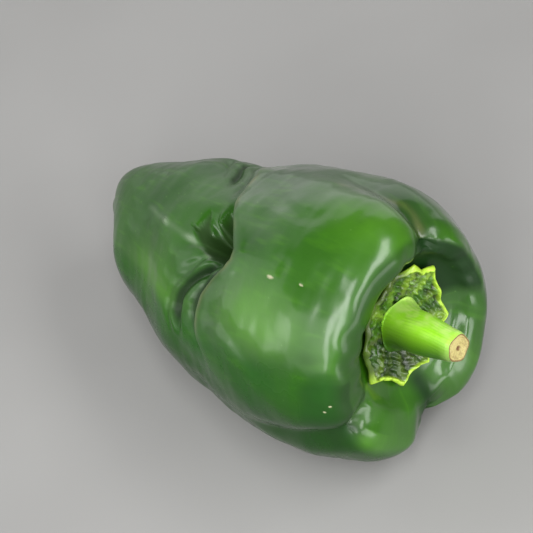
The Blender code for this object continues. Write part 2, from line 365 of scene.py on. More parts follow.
def tongue_share(turn, past):
    """1 along the tongue's line up to its tip, falling to 0 beside it."""
    angles, asides = TONGUE
    across = bell(past + np.interp(turn, angles, asides), TONGUE_WIDTH)
    return across * (1.0 - smooth_step(turn, *TONGUE_TIP))


def dimple_share(turn, past, radius):
    """How deep in the dimple a point is, from 0 to 1: its sides are exp(-|across|^3), its ends are steps,
    and the tongue fills a line of it."""
    reach = np.clip(1.0 + past / DIMPLE_LENGTH, 0.0, 1.0)
    centre, width = (first + (last - first) * reach for first, last in (DIMPLE_ANGLES, DIMPLE_WIDTHS))
    sides = np.exp(-np.abs(np.radians(turn - centre) * radius / width) ** 3)
    ends = smooth_step(past, -DIMPLE_LENGTH, DIMPLE_BOTTOM) * (1.0 - smooth_step(past, *DIMPLE_WALL))
    return sides * ends * (1.0 - TONGUE_SHARE * tongue_share(turn, past))


def wrinkle_shares(table, turn, past):
    """For each wrinkle in a table, its depth and how deep in it a point is, from 0 to 1."""
    for ends, asides, depth, width in table:
        aside = past + np.interp(turn, ends, asides)
        yield depth, bell(aside, width) * between(turn, ends, WRINKLE_FADE)


def crease_swelling(share, radius, height, angle):
    """The crease: a step up towards the stem that dies away to both sides, less the wrinkles beside it,
    less the dimple, which widens and deepens up to its steep wall at the crease."""
    turn = turn_from(angle, 0.0)
    past = height - crease_height(turn)
    step = (smooth_step(past, -CREASE_EDGE, CREASE_EDGE) - 0.5) * bell(past, CREASE_REACH)
    swelling = CREASE_STEP * step * between(turn, CREASE_ENDS, CREASE_FADE)

    for depth, wrinkle in wrinkle_shares(WRINKLES, turn, past):
        swelling -= depth * wrinkle
    return (swelling - DIMPLE_DEPTH * dimple_share(turn, past, radius)) * (share < CREST_SHARE)


def pod_points(share, angle, lift=0.0):
    """Points of the skin, from share 0 at the blossom tip to 1 in the middle of the crown's hollow.

    A point is the side's curve turned to the angle, moved square to the curve by the crease's swelling
    plus the swells plus lift less the furrows' depth, and swung off the axis. What would be under the
    floor is at 0.
    """
    sizes = np.array((POD_RADIUS, POD_LENGTH))
    step = 1e-4
    radius, height = np.moveaxis(spline(POD_PROFILE, share) * sizes, -1, 0)
    ahead = spline(POD_PROFILE, np.minimum(share + step, 1.0)) * sizes
    behind = spline(POD_PROFILE, np.maximum(share - step, 0.0)) * sizes
    along = ahead - behind
    along /= np.linalg.norm(along, axis=-1, keepdims=True)
    out_radius, out_height = along[..., 1], -along[..., 0]
    swelling = crease_swelling(share, radius, height, angle) + wall_swell(share, height, angle)
    swelling = swelling - furrow_depth(share, height, angle) + lift
    points = place(radius + swelling * out_radius, height + swelling * out_height, angle)
    sway = spline(SWAY, height / POD_LENGTH) * (1.0 - smooth_step(share, CREST_SHARE, CALYX_SHARE))
    points += sway[..., None] * outwards(np.full(sway.shape, math.radians(SWAY_ANGLE)))
    points[..., 2] = np.maximum(points[..., 2], 0.0)
    return points


# %% [markdown]
# ## The skin's relief
#
# Seen close, the pod is not smooth. Its wall is uneven like beaten metal, so that a reflection in it
# has a wavy edge. Faint ribs run along it, and fine hoops run round it. Wrinkles fan out from the
# dimple and lie beside the crease. The bottom of the dimple sinks into a ragged pit, with a thin, dry
# ridge that runs into it. The crown is puckered where the wall turns in to the calyx.
#
# A bump map could fake all this, but the outline and the mesh would stay plain. So the
# relief moves the points of the grid, and only the grain of the skin is left to the material.

# %% Driving values of the relief
# Where the wall's relief grows in from the tip, and where it ends in the crown
BODY_START = (0.02, 0.16)
BODY_END = (WALL_SHARE, CALYX_SHARE - 0.02)

# Uneven wall: (lengths of the waves, how many, height)
DENTS = (
    ((0.016, 0.030), 22, 0.00030),
    ((0.007, 0.013), 30, 0.00006),
    ((0.0028, 0.0048), 36, 0.000010),
)

# Fine hoops: waves as above, in a space where the pod is this much thinner, which draws them out round it
HOOPS = ((0.0022, 0.0050), 40, 0.00003)
HOOP_STRETCH = 0.22

# Soft ribs along the pod: how many, height, where they show, and how far a slow field bends them
RIB_COUNT = 15
RIB_HEIGHT = 0.00012
RIB_ENDS = (0.030, 0.080)
RIB_FADE = 0.020
RIB_BEND = 2.2
SLOW_LENGTHS = (0.020, 0.045)

# The fan of wrinkles: its centre is this far from the crease, and it shows at these distances from there
FAN_COUNT = 11
FAN_DEPTH = 0.00070
FAN_CENTRE = 0.0060
FAN_START = -34.0
FAN_BEND = 0.7
FAN_ENDS = (0.0070, 0.0100)
FAN_FADE = 0.0050
FAN_SPREAD = 80.0
FAN_SIDE_FADE = 25.0
FAN_EDGE = 0.004

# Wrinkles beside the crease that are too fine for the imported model, in the same form as its own
FINE_WRINKLES = (
    ((37.0, 62.0), (0.0037, 0.0044), 0.0007, 0.0009),
    ((44.0, 70.0), (0.0100, 0.0140), 0.0004, 0.0010),
    ((-30.0, -10.0), (0.0030, 0.0036), 0.0005, 0.0008),
    ((-40.0, -24.0), (0.0100, 0.0116), 0.0004, 0.0009),
)

# The pit is the middle of the dimple, ragged where wrinkles run into it, and painted shade darkens it:
# (angle in degrees, height)
PIT_OUTLINE = (
    (22.3, 0.0488), (22.5, 0.0506), (19.2, 0.0508), (11.5, 0.0505), (18.8, 0.0522), (22.0, 0.0535),
    (16.5, 0.0556), (8.5, 0.0556), (8.5, 0.0592), (16.5, 0.0632), (22.8, 0.0662), (28.5, 0.0686),
    (33.0, 0.0694), (33.4, 0.0608), (33.8, 0.0588), (32.0, 0.0562), (28.0, 0.0530), (25.0, 0.0512),
)
PIT_RADIUS = 0.027
PIT_SOFT = 0.0004
PIT_DROP = 0.0010
PIT_START = (-0.001, 0.003)

# A thin ridge that runs into the pit, whose pale colour is partly a painted highlight, and the line beside
# the furrow where a painted reflection lies in tan: (angle in degrees, height)
RIDGE = (
    (26.7, 0.0320), (28.0, 0.0353), (28.0, 0.0457), (28.7, 0.0515), (31.3, 0.0548), (33.3, 0.0582),
)
RIDGE_HEIGHT = 0.00035
RIDGE_WIDTH = 0.0007
RIDGE_LEAST = 0.25
RIDGE_SPOTS = ((0.0396, 0.0013), (0.0506, 0.0018), (0.0572, 0.0008))
REFLECTION_LINE = (
    (-21.7, 0.0777), (-27.0, 0.0830), (-33.7, 0.0893), (-34.0, 0.0920), (-33.3, 0.0941),
)
REFLECTION_LINE_WIDTH = 0.0008
LINE_FADE = 0.003

# The lip of skin along the crease, and the angles that it lies between
LIP_HEIGHT = 0.00060
LIP_WIDTH = 0.0026
LIP_ASIDE = 0.9 * LIP_WIDTH
LIP_ENDS = (8.0, 60.0)
LIP_FADE = 14.0

# Puckers round the crown: how many, height, and how far the slow field bends them
PUCKER_COUNT = 19
PUCKER_HEIGHT = 0.00022
PUCKER_SHARES = (0.69, 0.77)
PUCKER_FADE = 0.05
PUCKER_BEND = 2.5

# The dried scar at the blossom tip, and how deep a corky scar lies in the skin
TIP_SCAR = 0.0013
SCAR_DEPTH = 0.00018

# Corky scars: (angle in degrees, height, length along the pepper, width)
SCARS = (
    (33.0, 0.0816, 0.0010, 0.00040),
    (31.3, 0.0890, 0.0005, 0.00030),
    (81.3, 0.0986, 0.0003, 0.00025),
    (84.0, 0.0975, 0.0003, 0.00022),
    (-96.0, 0.0560, 0.0012, 0.00040),
    (150.0, 0.0480, 0.0008, 0.00045),
    (-150.0, 0.0760, 0.0006, 0.00050),
)

# Swells of the crown's inner wall: (angle in degrees, share, half width in degrees, half share, height)
CROWN_SWELLS = (
    (-130.0, 0.770, 11.0, 0.040, 0.00050),
    (-58.0, 0.690, 12.0, 0.020, 0.00040),
    (118.0, 0.715, 13.0, 0.025, 0.00050),
)

# %% The relief as a function


def pit_share(turn, height):
    """1 inside the pit's outline and 0 outside it, from the distance to the nearest of its sides. A point
    is inside if a line from it to one side crosses the outline an odd number of times."""
    across = np.radians(turn) * PIT_RADIUS
    corners = [(math.radians(angle) * PIT_RADIUS, level) for angle, level in PIT_OUTLINE]
    nearest = np.full(turn.shape, 1.0)
    inside = np.zeros(turn.shape, bool)
    for (start, low), (end, high) in zip(corners, corners[1:] + corners[:1]):
        aside, rise = end - start, high - low
        way = ((across - start) * aside + (height - low) * rise) / (aside**2 + rise**2)
        way = np.clip(way, 0.0, 1.0)
        nearest = np.minimum(nearest, np.hypot(across - start - way * aside, height - low - way * rise))
        level_with = (low > height) != (high > height)
        inside = inside ^ (level_with & (across < start + aside * (height - low) / rise))
    return smooth_step(np.where(inside, nearest, -nearest), -PIT_SOFT, PIT_SOFT)


def line_share(points, width, turn, height, radius):
    """1 along the line through points, each an angle and a height, falling to 0 beside it."""
    angles, heights = zip(*points)
    aside = np.radians(turn - np.interp(height, heights, angles)) * radius
    return bell(aside, width) * between(height, (heights[0], heights[-1]), LINE_FADE)


def ridge_share(turn, height, radius):
    """The thin ridge: RIDGE_LEAST along most of it, and 1 at its spots, each a height and a length."""
    spots = sum(bell(height - level, length) for level, length in RIDGE_SPOTS)
    broken = RIDGE_LEAST + (1.0 - RIDGE_LEAST) * spots
    return line_share(RIDGE, RIDGE_WIDTH, turn, height, radius) * broken


def skin_place(angle, plain):
    """Where points of the plain skin are: their height and distance along and from the axis, their angle in
    degrees, and how far past the crease they are."""
    height = (plain - TIP) @ AXIS
    radius = np.linalg.norm(plain - TIP - height[..., None] * AXIS, axis=-1)
    turn = turn_from(angle, 0.0)
    return height, radius, turn, height - crease_height(turn)


def uneven_wall(share, angle, plain, slow):
    """The dents and the hoops, which are random fields, and the ribs: a cosine round the pod, whose phase
    the slow field bends."""
    body = smooth_step(share, *BODY_START) * (1.0 - smooth_step(share, *BODY_END))
    relief = 0.0
    for seed, (lengths, count, size) in enumerate(DENTS):
        relief += size * waves(plain, lengths, count, seed) * body
    height = (plain - TIP) @ AXIS
    lengths, count, size = HOOPS
    level = height[..., None] * AXIS
    hooped = level + (plain - TIP - level) * HOOP_STRETCH
    relief += size * waves(hooped, lengths, count, seed=9) * body
    ribs = np.cos(RIB_COUNT * angle + RIB_BEND * slow)
    return relief + RIB_HEIGHT * ribs * body * between(height, RIB_ENDS, RIB_FADE)


def fan_depth(turn, past, height, radius, slow):
    """Depth of the fan: the squared cosine of the direction seen from its centre, inside a window of
    distances and directions, and only on the dimple's side of the crease."""
    across = np.radians(turn - DIMPLE_ANGLES[0]) * radius
    below = crease_height(np.full_like(turn, DIMPLE_ANGLES[0])) - FAN_CENTRE - height
    bearing = np.degrees(np.arctan2(across, below))
    fan = (0.5 + 0.5 * np.cos(np.radians(bearing - FAN_START) * FAN_COUNT + FAN_BEND * slow)) ** 2
    window = between(np.hypot(across, below), FAN_ENDS, FAN_FADE)
    window *= between(bearing, (-FAN_SPREAD, FAN_SPREAD), FAN_SIDE_FADE)
    return FAN_DEPTH * fan * window * smooth_step(-past, 0.0, FAN_EDGE)


def crown_relief(share, angle, slow):
    """The crown's swells, each a bell round it times a bell down its wall, and its puckers, a cosine."""
    relief = 0.0
    for centre, level, half_width, half_share, size in CROWN_SWELLS:
        across = bell(turn_from(angle, centre), half_width)
        relief += size * across * bell(share - level, half_share)
    pucker = np.cos(PUCKER_COUNT * angle + PUCKER_BEND * slow)
    return relief + PUCKER_HEIGHT * pucker * between(share, PUCKER_SHARES, PUCKER_FADE)


def scar_spots(share, angle, height, radius):
    """Each corky scar's share in turn: exp(-(across / width)^2 - (along / length)^2)."""
    for centre, level, length, width in SCARS:
        side = np.radians(turn_from(angle, centre)) * radius
        yield np.exp(-((side / width) ** 2) - ((height - level) / length) ** 2) * (share < WALL_SHARE)


def skin_relief(share, angle, plain):
    """How far the skin stands out from the plain body, and how much of a scar each point is. It is the sum
    of all the parts above: the wall, the fan, the pit, the wrinkles, the ridge, the lip and the crown."""
    height, radius, turn, past = skin_place(angle, plain)
    slow = waves(plain, SLOW_LENGTHS, 14, seed=5)
    outside = share < CREST_SHARE

    relief = uneven_wall(share, angle, plain, slow)
    pit = pit_share(turn, height) * outside
    relief -= fan_depth(turn, past, height, radius, slow) * (1.0 - pit)
    relief -= PIT_DROP * pit * smooth_step(-past, *PIT_START)
    for depth, wrinkle in wrinkle_shares(FINE_WRINKLES, turn, past):
        relief -= depth * wrinkle * outside
    relief += RIDGE_HEIGHT * ridge_share(turn, height, radius) * outside
    lip = bell(past - LIP_ASIDE, LIP_WIDTH) * between(turn, LIP_ENDS, LIP_FADE)
    relief += LIP_HEIGHT * lip
    relief += crown_relief(share, angle, slow)

    scar = bell(radius, TIP_SCAR) * (share < 0.2)
    for spot in scar_spots(share, angle, height, radius):
        scar = np.maximum(scar, spot)
        relief -= SCAR_DEPTH * spot
    return relief, scar


# %% [markdown]
# The grid's rings are spread so that they lie closer together where there is more to show, and the
# rings near the crease are bent to run along it. A crease that cuts across a grid gets teeth like a
# saw. One that follows a line of the grid stays clean.

# %% Spread the rings
POD_GRID = (300, 330)
POD_RINGS = ((0.0, 0.0), (0.20, 0.27), (0.36, 0.38), (0.56, 0.48), (0.68, 0.60), (0.90, 0.83), (1.0, 1.0))
CREASE_RING = 0.44
RING_ENDS = (0.10, 0.62)
RING_FADE = 50.0
CROWDING = 0.35
CROWDED = 35.0


def pod_rings(share, angle):
    """Where the rings lie: the ring at CREASE_RING follows the crease, and its neighbours less and less."""
    turn = turn_from(angle, 0.0)
    table = np.linspace(0.0, CREST_SHARE, 200)
    along = np.interp(crease_height(turn), spline(POD_PROFILE, table)[:, 1] * POD_LENGTH, table)
    share = np.interp(share, *zip(*POD_RINGS))
    first, last = RING_ENDS
    bend = smooth_step(share, first, CREASE_RING) * (1.0 - smooth_step(share, CREASE_RING, last))
    return share + (along - CREASE_RING) * bend * between(turn, CREASE_ENDS, RING_FADE)


# %% [markdown]
# Besides its shape, the skin's mesh carries masks: one number for each point, which says how much of
# something there is. The material reads them later. A mask worked out here can follow the same lines
# as the shape does, which a texture laid over the pepper could not.

# %% Driving values of the masks
# Patches where the skin is a lighter green, partly its own colour and partly painted light: (angle in
# degrees, height, half width in degrees, half length)
LIGHT_PATCHES = (
    (-12.0, 0.0940, 20.0, 0.0110),
    (50.0, 0.0820, 13.0, 0.0110),
    (62.0, 0.0400, 14.0, 0.0100),
    (122.0, 0.0980, 14.0, 0.0050),
    (-75.0, 0.0700, 22.0, 0.0140),
    (165.0, 0.0850, 22.0, 0.0120),
    (215.0, 0.0450, 26.0, 0.0150),
)
# The shoulder's warmer green, partly painted light: the shares it grows between, and how much of it
SHOULDER_SHARES = (0.46, 0.66)
SHOULDER_WARMTH = 0.35

# Painted shade in and under the crown: (first and last angle and fade in degrees, first and last share and
# its fade, darkness, how ragged its sides are in degrees)
SHADED_PLACES = (
    ((-20.0, 90.0), 20.0, (0.675, 0.80), 0.03, 0.6, 0.0),
    ((-90.0, -28.0), 14.0, (0.71, 0.86), 0.035, 1.0, 0.0),
    ((69.0, 102.0), 8.0, (0.61, 0.80), 0.03, 0.6, 0.0),
    ((70.0, 110.0), 12.0, (0.60, 0.70), 0.03, 0.85, 4.0),
)
# Painted shade in the gap between two lobes: (angle and half width in degrees, first and last share, fade)
SHADED_GAP = (176.0, 11.0, (0.73, 0.84), 0.04)

# The painted shade on the underside, and the place that is rubbed clean of wax, where painted shade also
# darkens the colour: where both fade out below the crest, where the underside starts on the near and on
# the far side, and the angles and fade of the rubbed place
OUTER_SHARES = (0.62, 0.69)
NEAR_UNDER_SHADE = (71.0, 99.0)
FAR_UNDER_SHADE = (76.0, 112.0)
RUBBED = ((72.0, 160.0), 13.0)

# Where the wax thickens, past the crease, and the depths at which the painted shade in furrows and wrinkles
# is darkest
WAX_CHANGE = (-0.004, 0.004)
FURROW_FULL_SHADE = 0.0045
WRINKLE_FULL_SHADE = 0.0011

# The tan edge: the angles along the crease, how far past the crease it is, and its half width
SEAM_ENDS = (-30.0, 58.0)
SEAM_FADE = 16.0
SEAM_ASIDE = 0.0012
SEAM_HALF = 0.0009

# The space that textures are read in: its size round the pod, and along it
GROWN_PLACE = (1.0, 0.9)
HOOPED_PLACE = (0.35, 4.0)

# %% The masks as functions


def warm_mask(share, angle, height):
    """The warmer green, partly the skin's own and partly painted light: some of it on the shoulder, and all
    of it in the middle of each light patch.
    """
    warm = SHOULDER_WARMTH * smooth_step(share, *SHOULDER_SHARES)
    for centre, level, half_width, half_length in LIGHT_PATCHES:
        patch = bell(turn_from(angle, centre), half_width) * bell(height - level, half_length)
        warm = np.maximum(warm, patch * (share < WALL_SHARE))
    return warm


def crown_shade_mask(share, angle, plain):
    """Painted shade: the darkest of the dark places at each point, from windows in angle and share, and a
    bell for the gap.
    """
    centre, half_width, shares, fade = SHADED_GAP
    dark = bell(turn_from(angle, centre), half_width) * between(share, shares, fade)
    uneven = waves(plain, (0.007, 0.016), 12, seed=31)
    for ends, side_fade, shares, fade, darkness, ragged in SHADED_PLACES:
        turn = turn_from(angle, 0.0) + ragged * uneven
        window = between(turn, ends, side_fade) * between(share, shares, fade)
        dark = np.maximum(dark, darkness * window)
    return dark


def tan_and_reflection_mask(share, plain, height, radius, turn, past):
    """A tan bell along the crease, or the line beside the furrow that carries a painted reflection of a
    brown wall, whichever is more, made uneven.
    """
    seam = bell(past - SEAM_ASIDE, SEAM_HALF) * between(turn, SEAM_ENDS, SEAM_FADE)
    seam = np.maximum(seam, line_share(REFLECTION_LINE, REFLECTION_LINE_WIDTH, turn, height, radius)) * (share < CREST_SHARE)
    return seam * (0.6 + 0.4 * waves(plain, (0.004, 0.009), 12, seed=10))


def round_place(angle, height, size, length):
    """A place for textures that has no seam: size times (cos angle, sin angle), and how far along."""
    return np.stack((size * np.cos(angle), size * np.sin(angle), height / POD_LENGTH * length), axis=-1)


# %% Make the skin


def make_pod():
    """The skin: the plain body, lifted by the relief, with the masks that its material reads."""
    share, angle = surface_grid(*POD_GRID)
    angle = angle - CROWDING * np.sin(angle - math.radians(CROWDED))
    share = pod_rings(share, angle)
    plain = pod_points(share, angle)
    relief, scar = skin_relief(share, angle, plain)
    mesh = closed_mesh("pod_skin", pod_points(share, angle, relief))

    height, radius, turn, past = skin_place(angle, plain)
    outside = share < CREST_SHARE
    outer = 1.0 - smooth_step(share, *OUTER_SHARES)
    wrinkles = wrinkle_shares(WRINKLES + FINE_WRINKLES, turn, past)
    wrinkle_shade = sum(min(1.0, depth / WRINKLE_FULL_SHADE) * wrinkle for depth, wrinkle in wrinkles)
    under = np.maximum(smooth_step(turn, *NEAR_UNDER_SHADE), smooth_step(-turn, *FAR_UNDER_SHADE))
    # Several of these masks paint light and shade into the colour: shade in the furrows, wrinkles, pit,
    # crown and underside and low on the near side, light on the shoulder, a highlight on the ridge and a
    # reflection beside a furrow.
    store(
        mesh,
        grown=round_place(angle, height, *GROWN_PLACE),
        hooped=round_place(angle, height, *HOOPED_PLACE),
        furrow=np.clip(furrow_depth(share, height, angle) / FURROW_FULL_SHADE, 0.0, 1.0),
        pit=pit_share(turn, height) * outside,
        wrinkle=wrinkle_shade * outside,
        ridge=ridge_share(turn, height, radius) * outside,
        warm=warm_mask(share, angle, height),
        waxed=smooth_step(past, *WAX_CHANGE),
        hollow=crown_shade_mask(share, angle, plain),
        under=under * outer,
        rubbed=between(turn, *RUBBED) * outer,
        seam=tan_and_reflection_mask(share, plain, height, radius, turn, past),
        scar=scar,
    )
    return add_piece("pod_skin", mesh, "pod")


pod_skin = make_pod()

# %% [markdown]
# ## The calyx
#
# The calyx is what is left of the flower's green cup. It hugs the hollow of the crown: a ribbed dish
# with a tooth where each rib ends, and a thin, pale margin that curls up off the pod. It is made like
# the pod, by lifting the crown's own surface, first for the dish's underside and then, on the way
# back in, for its upper side.

# %% Driving values of the calyx
CALYX_GAP = 0.0004
CALYX_THICKNESS = 0.0011
CALYX_RADIUS = 0.0132
CALYX_ASIDE = 0.0016
CALYX_ANGLE = 30.0
MARGIN_START = 0.55
MARGIN_LIFT = 0.0008
MARGIN_THINNING = 0.5
TOOTH_LENGTH = 0.0020
TOOTH_WIDTH = 15.0
TEETH = (-168.0, -115.0, -52.0, -24.0, 36.0, 108.0, 153.0)

CALYX_GRID = (301, 320)
RIB_RISE = 0.00055
RIB_WIDTH = 6.5
BEAD_RISE = 0.00045
BEAD_WIDTH = 0.030
RUFFLE = 0.00030
CALYX_BUMPS = 0.00024

# Where things are on the way out from the middle of the dish, 0, to its edge, 1
RIB_START = (0.35, 0.60)
RIB_END = (0.90, 1.0)
BEAD_PLACE = 0.965
BUMP_ENDS = (0.50, 0.88)
BUMP_FADE = 0.12
PALE_MARGIN = (0.905, 0.965)
SHELTERED_EDGE = (0.75, 0.95)
LIT_EDGE = (0.90, 0.96)

# The share of the way, from pole to pole, where the underside turns into the upper side
UPPER_SIDE = (0.499, 0.501)

# The sides of the dish that lie in shade: (middle, and half width or ends and fade), in degrees
SHADED = (140.0, 70.0)
SHELTERED = (40.0, (-45.0, 55.0), 22.0)
MARGIN_HIDDEN = 0.9

# %% The calyx as a function


def crown_share(radius):
    """Share of the pod's side that lies at a radius inside the crown's hollow."""
    table = np.linspace(1.0, CREST_SHARE, 400)
    return np.interp(radius, spline(POD_PROFILE, table)[:, 0] * POD_RADIUS, table)


def calyx_edge(angle):
    """Radius of the edge: a circle set a little aside, its teeth, each a pointed bump, and a ruffle, which
    is a sine round it with a phase that two slower sines bend."""
    reach = 0.0
    for tooth in TEETH:
        near = np.maximum(0.0, 1.0 - np.abs(turn_from(angle, tooth)) / TOOTH_WIDTH)
        reach = np.maximum(reach, near**1.3)
    ruffle = RUFFLE * np.sin(17.0 * angle + 3.0 * np.sin(3.0 * angle) + 2.0 * np.sin(5.0 * angle))
    ruffle = ruffle * (1.0 - reach) * (0.5 + 0.5 * np.sin(2.0 * angle))
    aside = CALYX_ASIDE * np.cos(np.radians(turn_from(angle, CALYX_ANGLE)))
    return CALYX_RADIUS + aside + TOOTH_LENGTH * reach + ruffle


def calyx_ribs(angle):
    """1 along the line to each tooth, and half as much along the lines between two teeth."""
    teeth = np.sort(np.array(TEETH))
    following = np.concatenate((teeth[1:], teeth[:1] + 360.0))
    ribs = 0.0
    for tooth in teeth:
        ribs = np.maximum(ribs, bell(turn_from(angle, tooth), RIB_WIDTH))
    for tooth in (teeth + following) / 2.0:
        ribs = np.maximum(ribs, 0.5 * bell(turn_from(angle, tooth), RIB_WIDTH))
    return ribs


def make_calyx():
    """The dish: the crown's surface lifted by the gap, and on its upper side by the thickness, the ribs,
    the bead along the margin and small bumps."""
    share, angle = surface_grid(*CALYX_GRID)
    out = 1.0 - np.abs(2.0 * share - 1.0)
    upper = smooth_step(share, *UPPER_SIDE)
    reach = crown_share(out * calyx_edge(angle))
    plain = pod_points(reach, angle)

    rim = smooth_step(out, MARGIN_START, 1.0)
    ribs = calyx_ribs(angle) * smooth_step(out, *RIB_START) * (1.0 - 0.5 * smooth_step(out, *RIB_END))
    bead = bell(out - BEAD_PLACE, BEAD_WIDTH) * (1.0 + 0.5 * waves(plain, (0.002, 0.004), 12, seed=21))
    bumps = waves(plain, (0.0011, 0.0024), 40, seed=22) * between(out, BUMP_ENDS, BUMP_FADE)
    curl = MARGIN_LIFT * rim * (1.0 + 0.45 * waves(plain, (0.006, 0.012), 12, seed=23))
    top = CALYX_THICKNESS * (1.0 - MARGIN_THINNING * rim)
    top = top + RIB_RISE * ribs + BEAD_RISE * bead + CALYX_BUMPS * bumps
    mesh = closed_mesh("calyx_dish", pod_points(reach, angle, CALYX_GAP + curl + top * upper))

    centre, ends, fade = SHELTERED
    sheltered = between(turn_from(angle, centre), ends, fade)
    centre, half_width = SHADED
    shade = bell(turn_from(angle, centre), half_width)
    shade = np.maximum(shade, sheltered * smooth_step(out, *SHELTERED_EDGE))
    store(
        mesh,
        margin=smooth_step(out, *PALE_MARGIN) * (1.0 - MARGIN_HIDDEN * sheltered),
        shade=shade * (1.0 - smooth_step(out, *LIT_EDGE) * (1.0 - sheltered)),
        rib=ribs,
        bumps=bumps,
    )
    return add_piece("calyx_dish", mesh, "calyx")


calyx_dish = make_calyx()

# %% [markdown]
# ## The stem
#
# The stem is a bent, tapering rod that flares into the calyx. Five soft ribs run up it, with fine
# fibres between them. A knife cut it off, so its end is flat, with a bruised brown rim and a small
# hollow in the middle where the pith has shrunk. One closed surface carries all of it: a foot, the
# side, then the face of the cut.

# %% Driving values of the stem
STEM_GAP = 0.0004
STEM_LENGTH = 0.0230
STEM_ANGLE = 36.0
STEM_LEANS = (34.0, 6.0)
STEM_RADII = (0.0063, 0.0051, 0.0047, 0.0045, 0.0041, 0.0036, 0.0032)
STEM_RIBS = 5
RIB_SHARE = 0.04
FOOT_SHARE = 0.14

STEM_GRID = (330, 280)
FOOT_RINGS = 10
CUT_RINGS = 90
FIBRE_COUNT = 34
FIBRE_SHARE = 0.004
KNOB_SHARE = 0.022
FIBRE_START = (0.03, 0.20)
KNOB_START = (0.05, 0.25)
FIELD_LENGTH = 3.0

# The cut: its rounded rim, the pith, its grain, and a raised ring: (share of the way out, width, height)
CUT_ROUND = 0.00025
PITH_RADIUS = 0.00055
PITH_DEPTH = 0.00045
CUT_GRAIN = 0.00006
CUT_RING = (0.62, 0.10, 0.00016)
RIM_SHARE = 0.12

# %% The stem as a function


def stem_path(along):
    """The middle line from foot to cut: distance aside and ahead, and its lean. The lean falls from one
    value to the other as (1 - way)^1.5, and the distances are its running sums."""
    way = np.linspace(0.0, 1.0, 101)
    lean = np.radians(STEM_LEANS[1] + (STEM_LEANS[0] - STEM_LEANS[1]) * (1.0 - way) ** 1.5)
    stretch = STEM_LENGTH / (len(way) - 1)
    aside = np.concatenate(([0.0], np.cumsum(np.sin(lean[:-1])))) * stretch
    ahead = np.concatenate(([0.0], np.cumsum(np.cos(lean[:-1])))) * stretch
    return (np.interp(along, way, values) for values in (aside, ahead, lean))


def stem_side(along, angle, round_it):
    """The side as a share of the section's radius: 1 plus the ribs, the fibres and some knobs, which are
    two cosines and a random field. Random fields also bend and break the fibres. Gives the fibres too."""
    drift = waves(round_it, (1.5, 3.5), 12, seed=31)
    broken = 0.6 + 0.4 * waves(round_it, (0.5, 1.2), 20, seed=32)
    fibres = np.cos(FIBRE_COUNT * angle + 3.0 * drift) * broken
    uneven = waves(round_it, (1.2, 2.6), 16, seed=33)
    side = 1.0 + RIB_SHARE * np.cos(STEM_RIBS * angle)
    side += FIBRE_SHARE * fibres * smooth_step(along, *FIBRE_START)
    side += KNOB_SHARE * uneven * smooth_step(along, *KNOB_START)
    return side, fibres


def cut_relief(spread, radius, round_it):
    """Height of the cut's face: its grain, less the pith's hollow, plus the ring, and 0 at the rim."""
    ring, half_width, height = CUT_RING
    grain = waves(round_it * spread[..., None], (0.10, 0.30), 30, seed=34)
    face = CUT_GRAIN * grain - PITH_DEPTH * bell(radius, PITH_RADIUS)
    face += height * bell(spread - ring, half_width)
    return face * smooth_step(1.0 - spread, 0.0, RIM_SHARE)


def make_stem():
    """The stem: sections square to the middle line, whose radius is a curve along it times the side's
    share. Over the cut the radius runs back to nothing."""
    step, angle = surface_grid(*STEM_GRID)
    step = step * (STEM_GRID[0] - 1)
    last = STEM_GRID[0] - 1
    spread = np.minimum(1.0, np.minimum(step / FOOT_RINGS, (last - step) / CUT_RINGS))
    along = np.clip((step - FOOT_RINGS) / (last - FOOT_RINGS - CUT_RINGS), 0.0, 1.0)
    cut = (step > last - CUT_RINGS) * 1.0
    aside, ahead, lean = stem_path(along)
    lean *= smooth_step(along, 0.0, FOOT_SHARE)

    round_it = np.stack((np.cos(angle), np.sin(angle), along * FIELD_LENGTH), axis=-1)
    side, fibres = stem_side(along, angle, round_it)
    radius = spline(STEM_RADII, along) * side
    rounding = CUT_ROUND * smooth_step(along, 1.0 - 4.0 * CUT_ROUND / STEM_LENGTH, 1.0)
    radius = (radius - rounding) * spread

    dish = spline(POD_PROFILE, crown_share(radius))[..., 1] * POD_LENGTH
    base = POD_PROFILE[-1][1] * POD_LENGTH
    ahead = ahead + base + (dish - base) * (1.0 - smooth_step(along, 0.0, FOOT_SHARE))
    ahead = ahead + CALYX_GAP + CALYX_THICKNESS + STEM_GAP
    ahead += cut * cut_relief(spread, radius, round_it)

    towards = radius * np.cos(angle)
    level = np.full(step.shape, math.radians(STEM_ANGLE))
    points = place(aside + towards * np.cos(lean), ahead - towards * np.sin(lean), level)
    points += (radius * np.sin(angle))[..., None] * outwards(level + math.pi / 2)
    mesh = closed_mesh("stem_stalk", points)

    # Painted light and shade: 1 on the side of the stem that faces the lamps, 0 underneath.
    sunny = 0.5 - 0.5 * np.sin(angle)
    fibre = 0.5 + 0.5 * fibres
    store(mesh, grown=round_it, along=along, sunny=sunny, cut=cut, spread=spread, fibre=fibre)
    return add_piece("stem_stalk", mesh, "stem")


stem_stalk = make_stem()

# %% [markdown]
# ## Effects that the materials share
#
# A shader node group is a function for materials. Three are enough here. *Drift* is a cloudy mask for
# colour that changes slowly. *Grain* is the height of the skin's cells, a mix of rounded cells and
# fine noise. *Specks* picks a few cells and draws a dot in each. Each group has named inputs, so every
# material can use it with its own values.

# %% Helpers for nodes


def add_node(tree, kind, settings=(), sockets=()):
    """A node with its settings. Each socket listed gets a value, or a link from another node's socket."""
    node = tree.nodes.new(kind)
    for key, value in dict(settings).items():
        setattr(node, key, value)
    for key, source in dict(sockets).items():
        if isinstance(source, bpy.types.NodeSocket):
            tree.links.new(source, node.inputs[key])
        else:
            node.inputs[key].default_value = source
    return node


def calculate(tree, operation, first, second):
    """What a Math node makes of two numbers, each of them a value or a socket."""
    node = add_node(tree, "ShaderNodeMath", {"operation": operation}, {0: first, 1: second})
    return node.outputs["Value"]


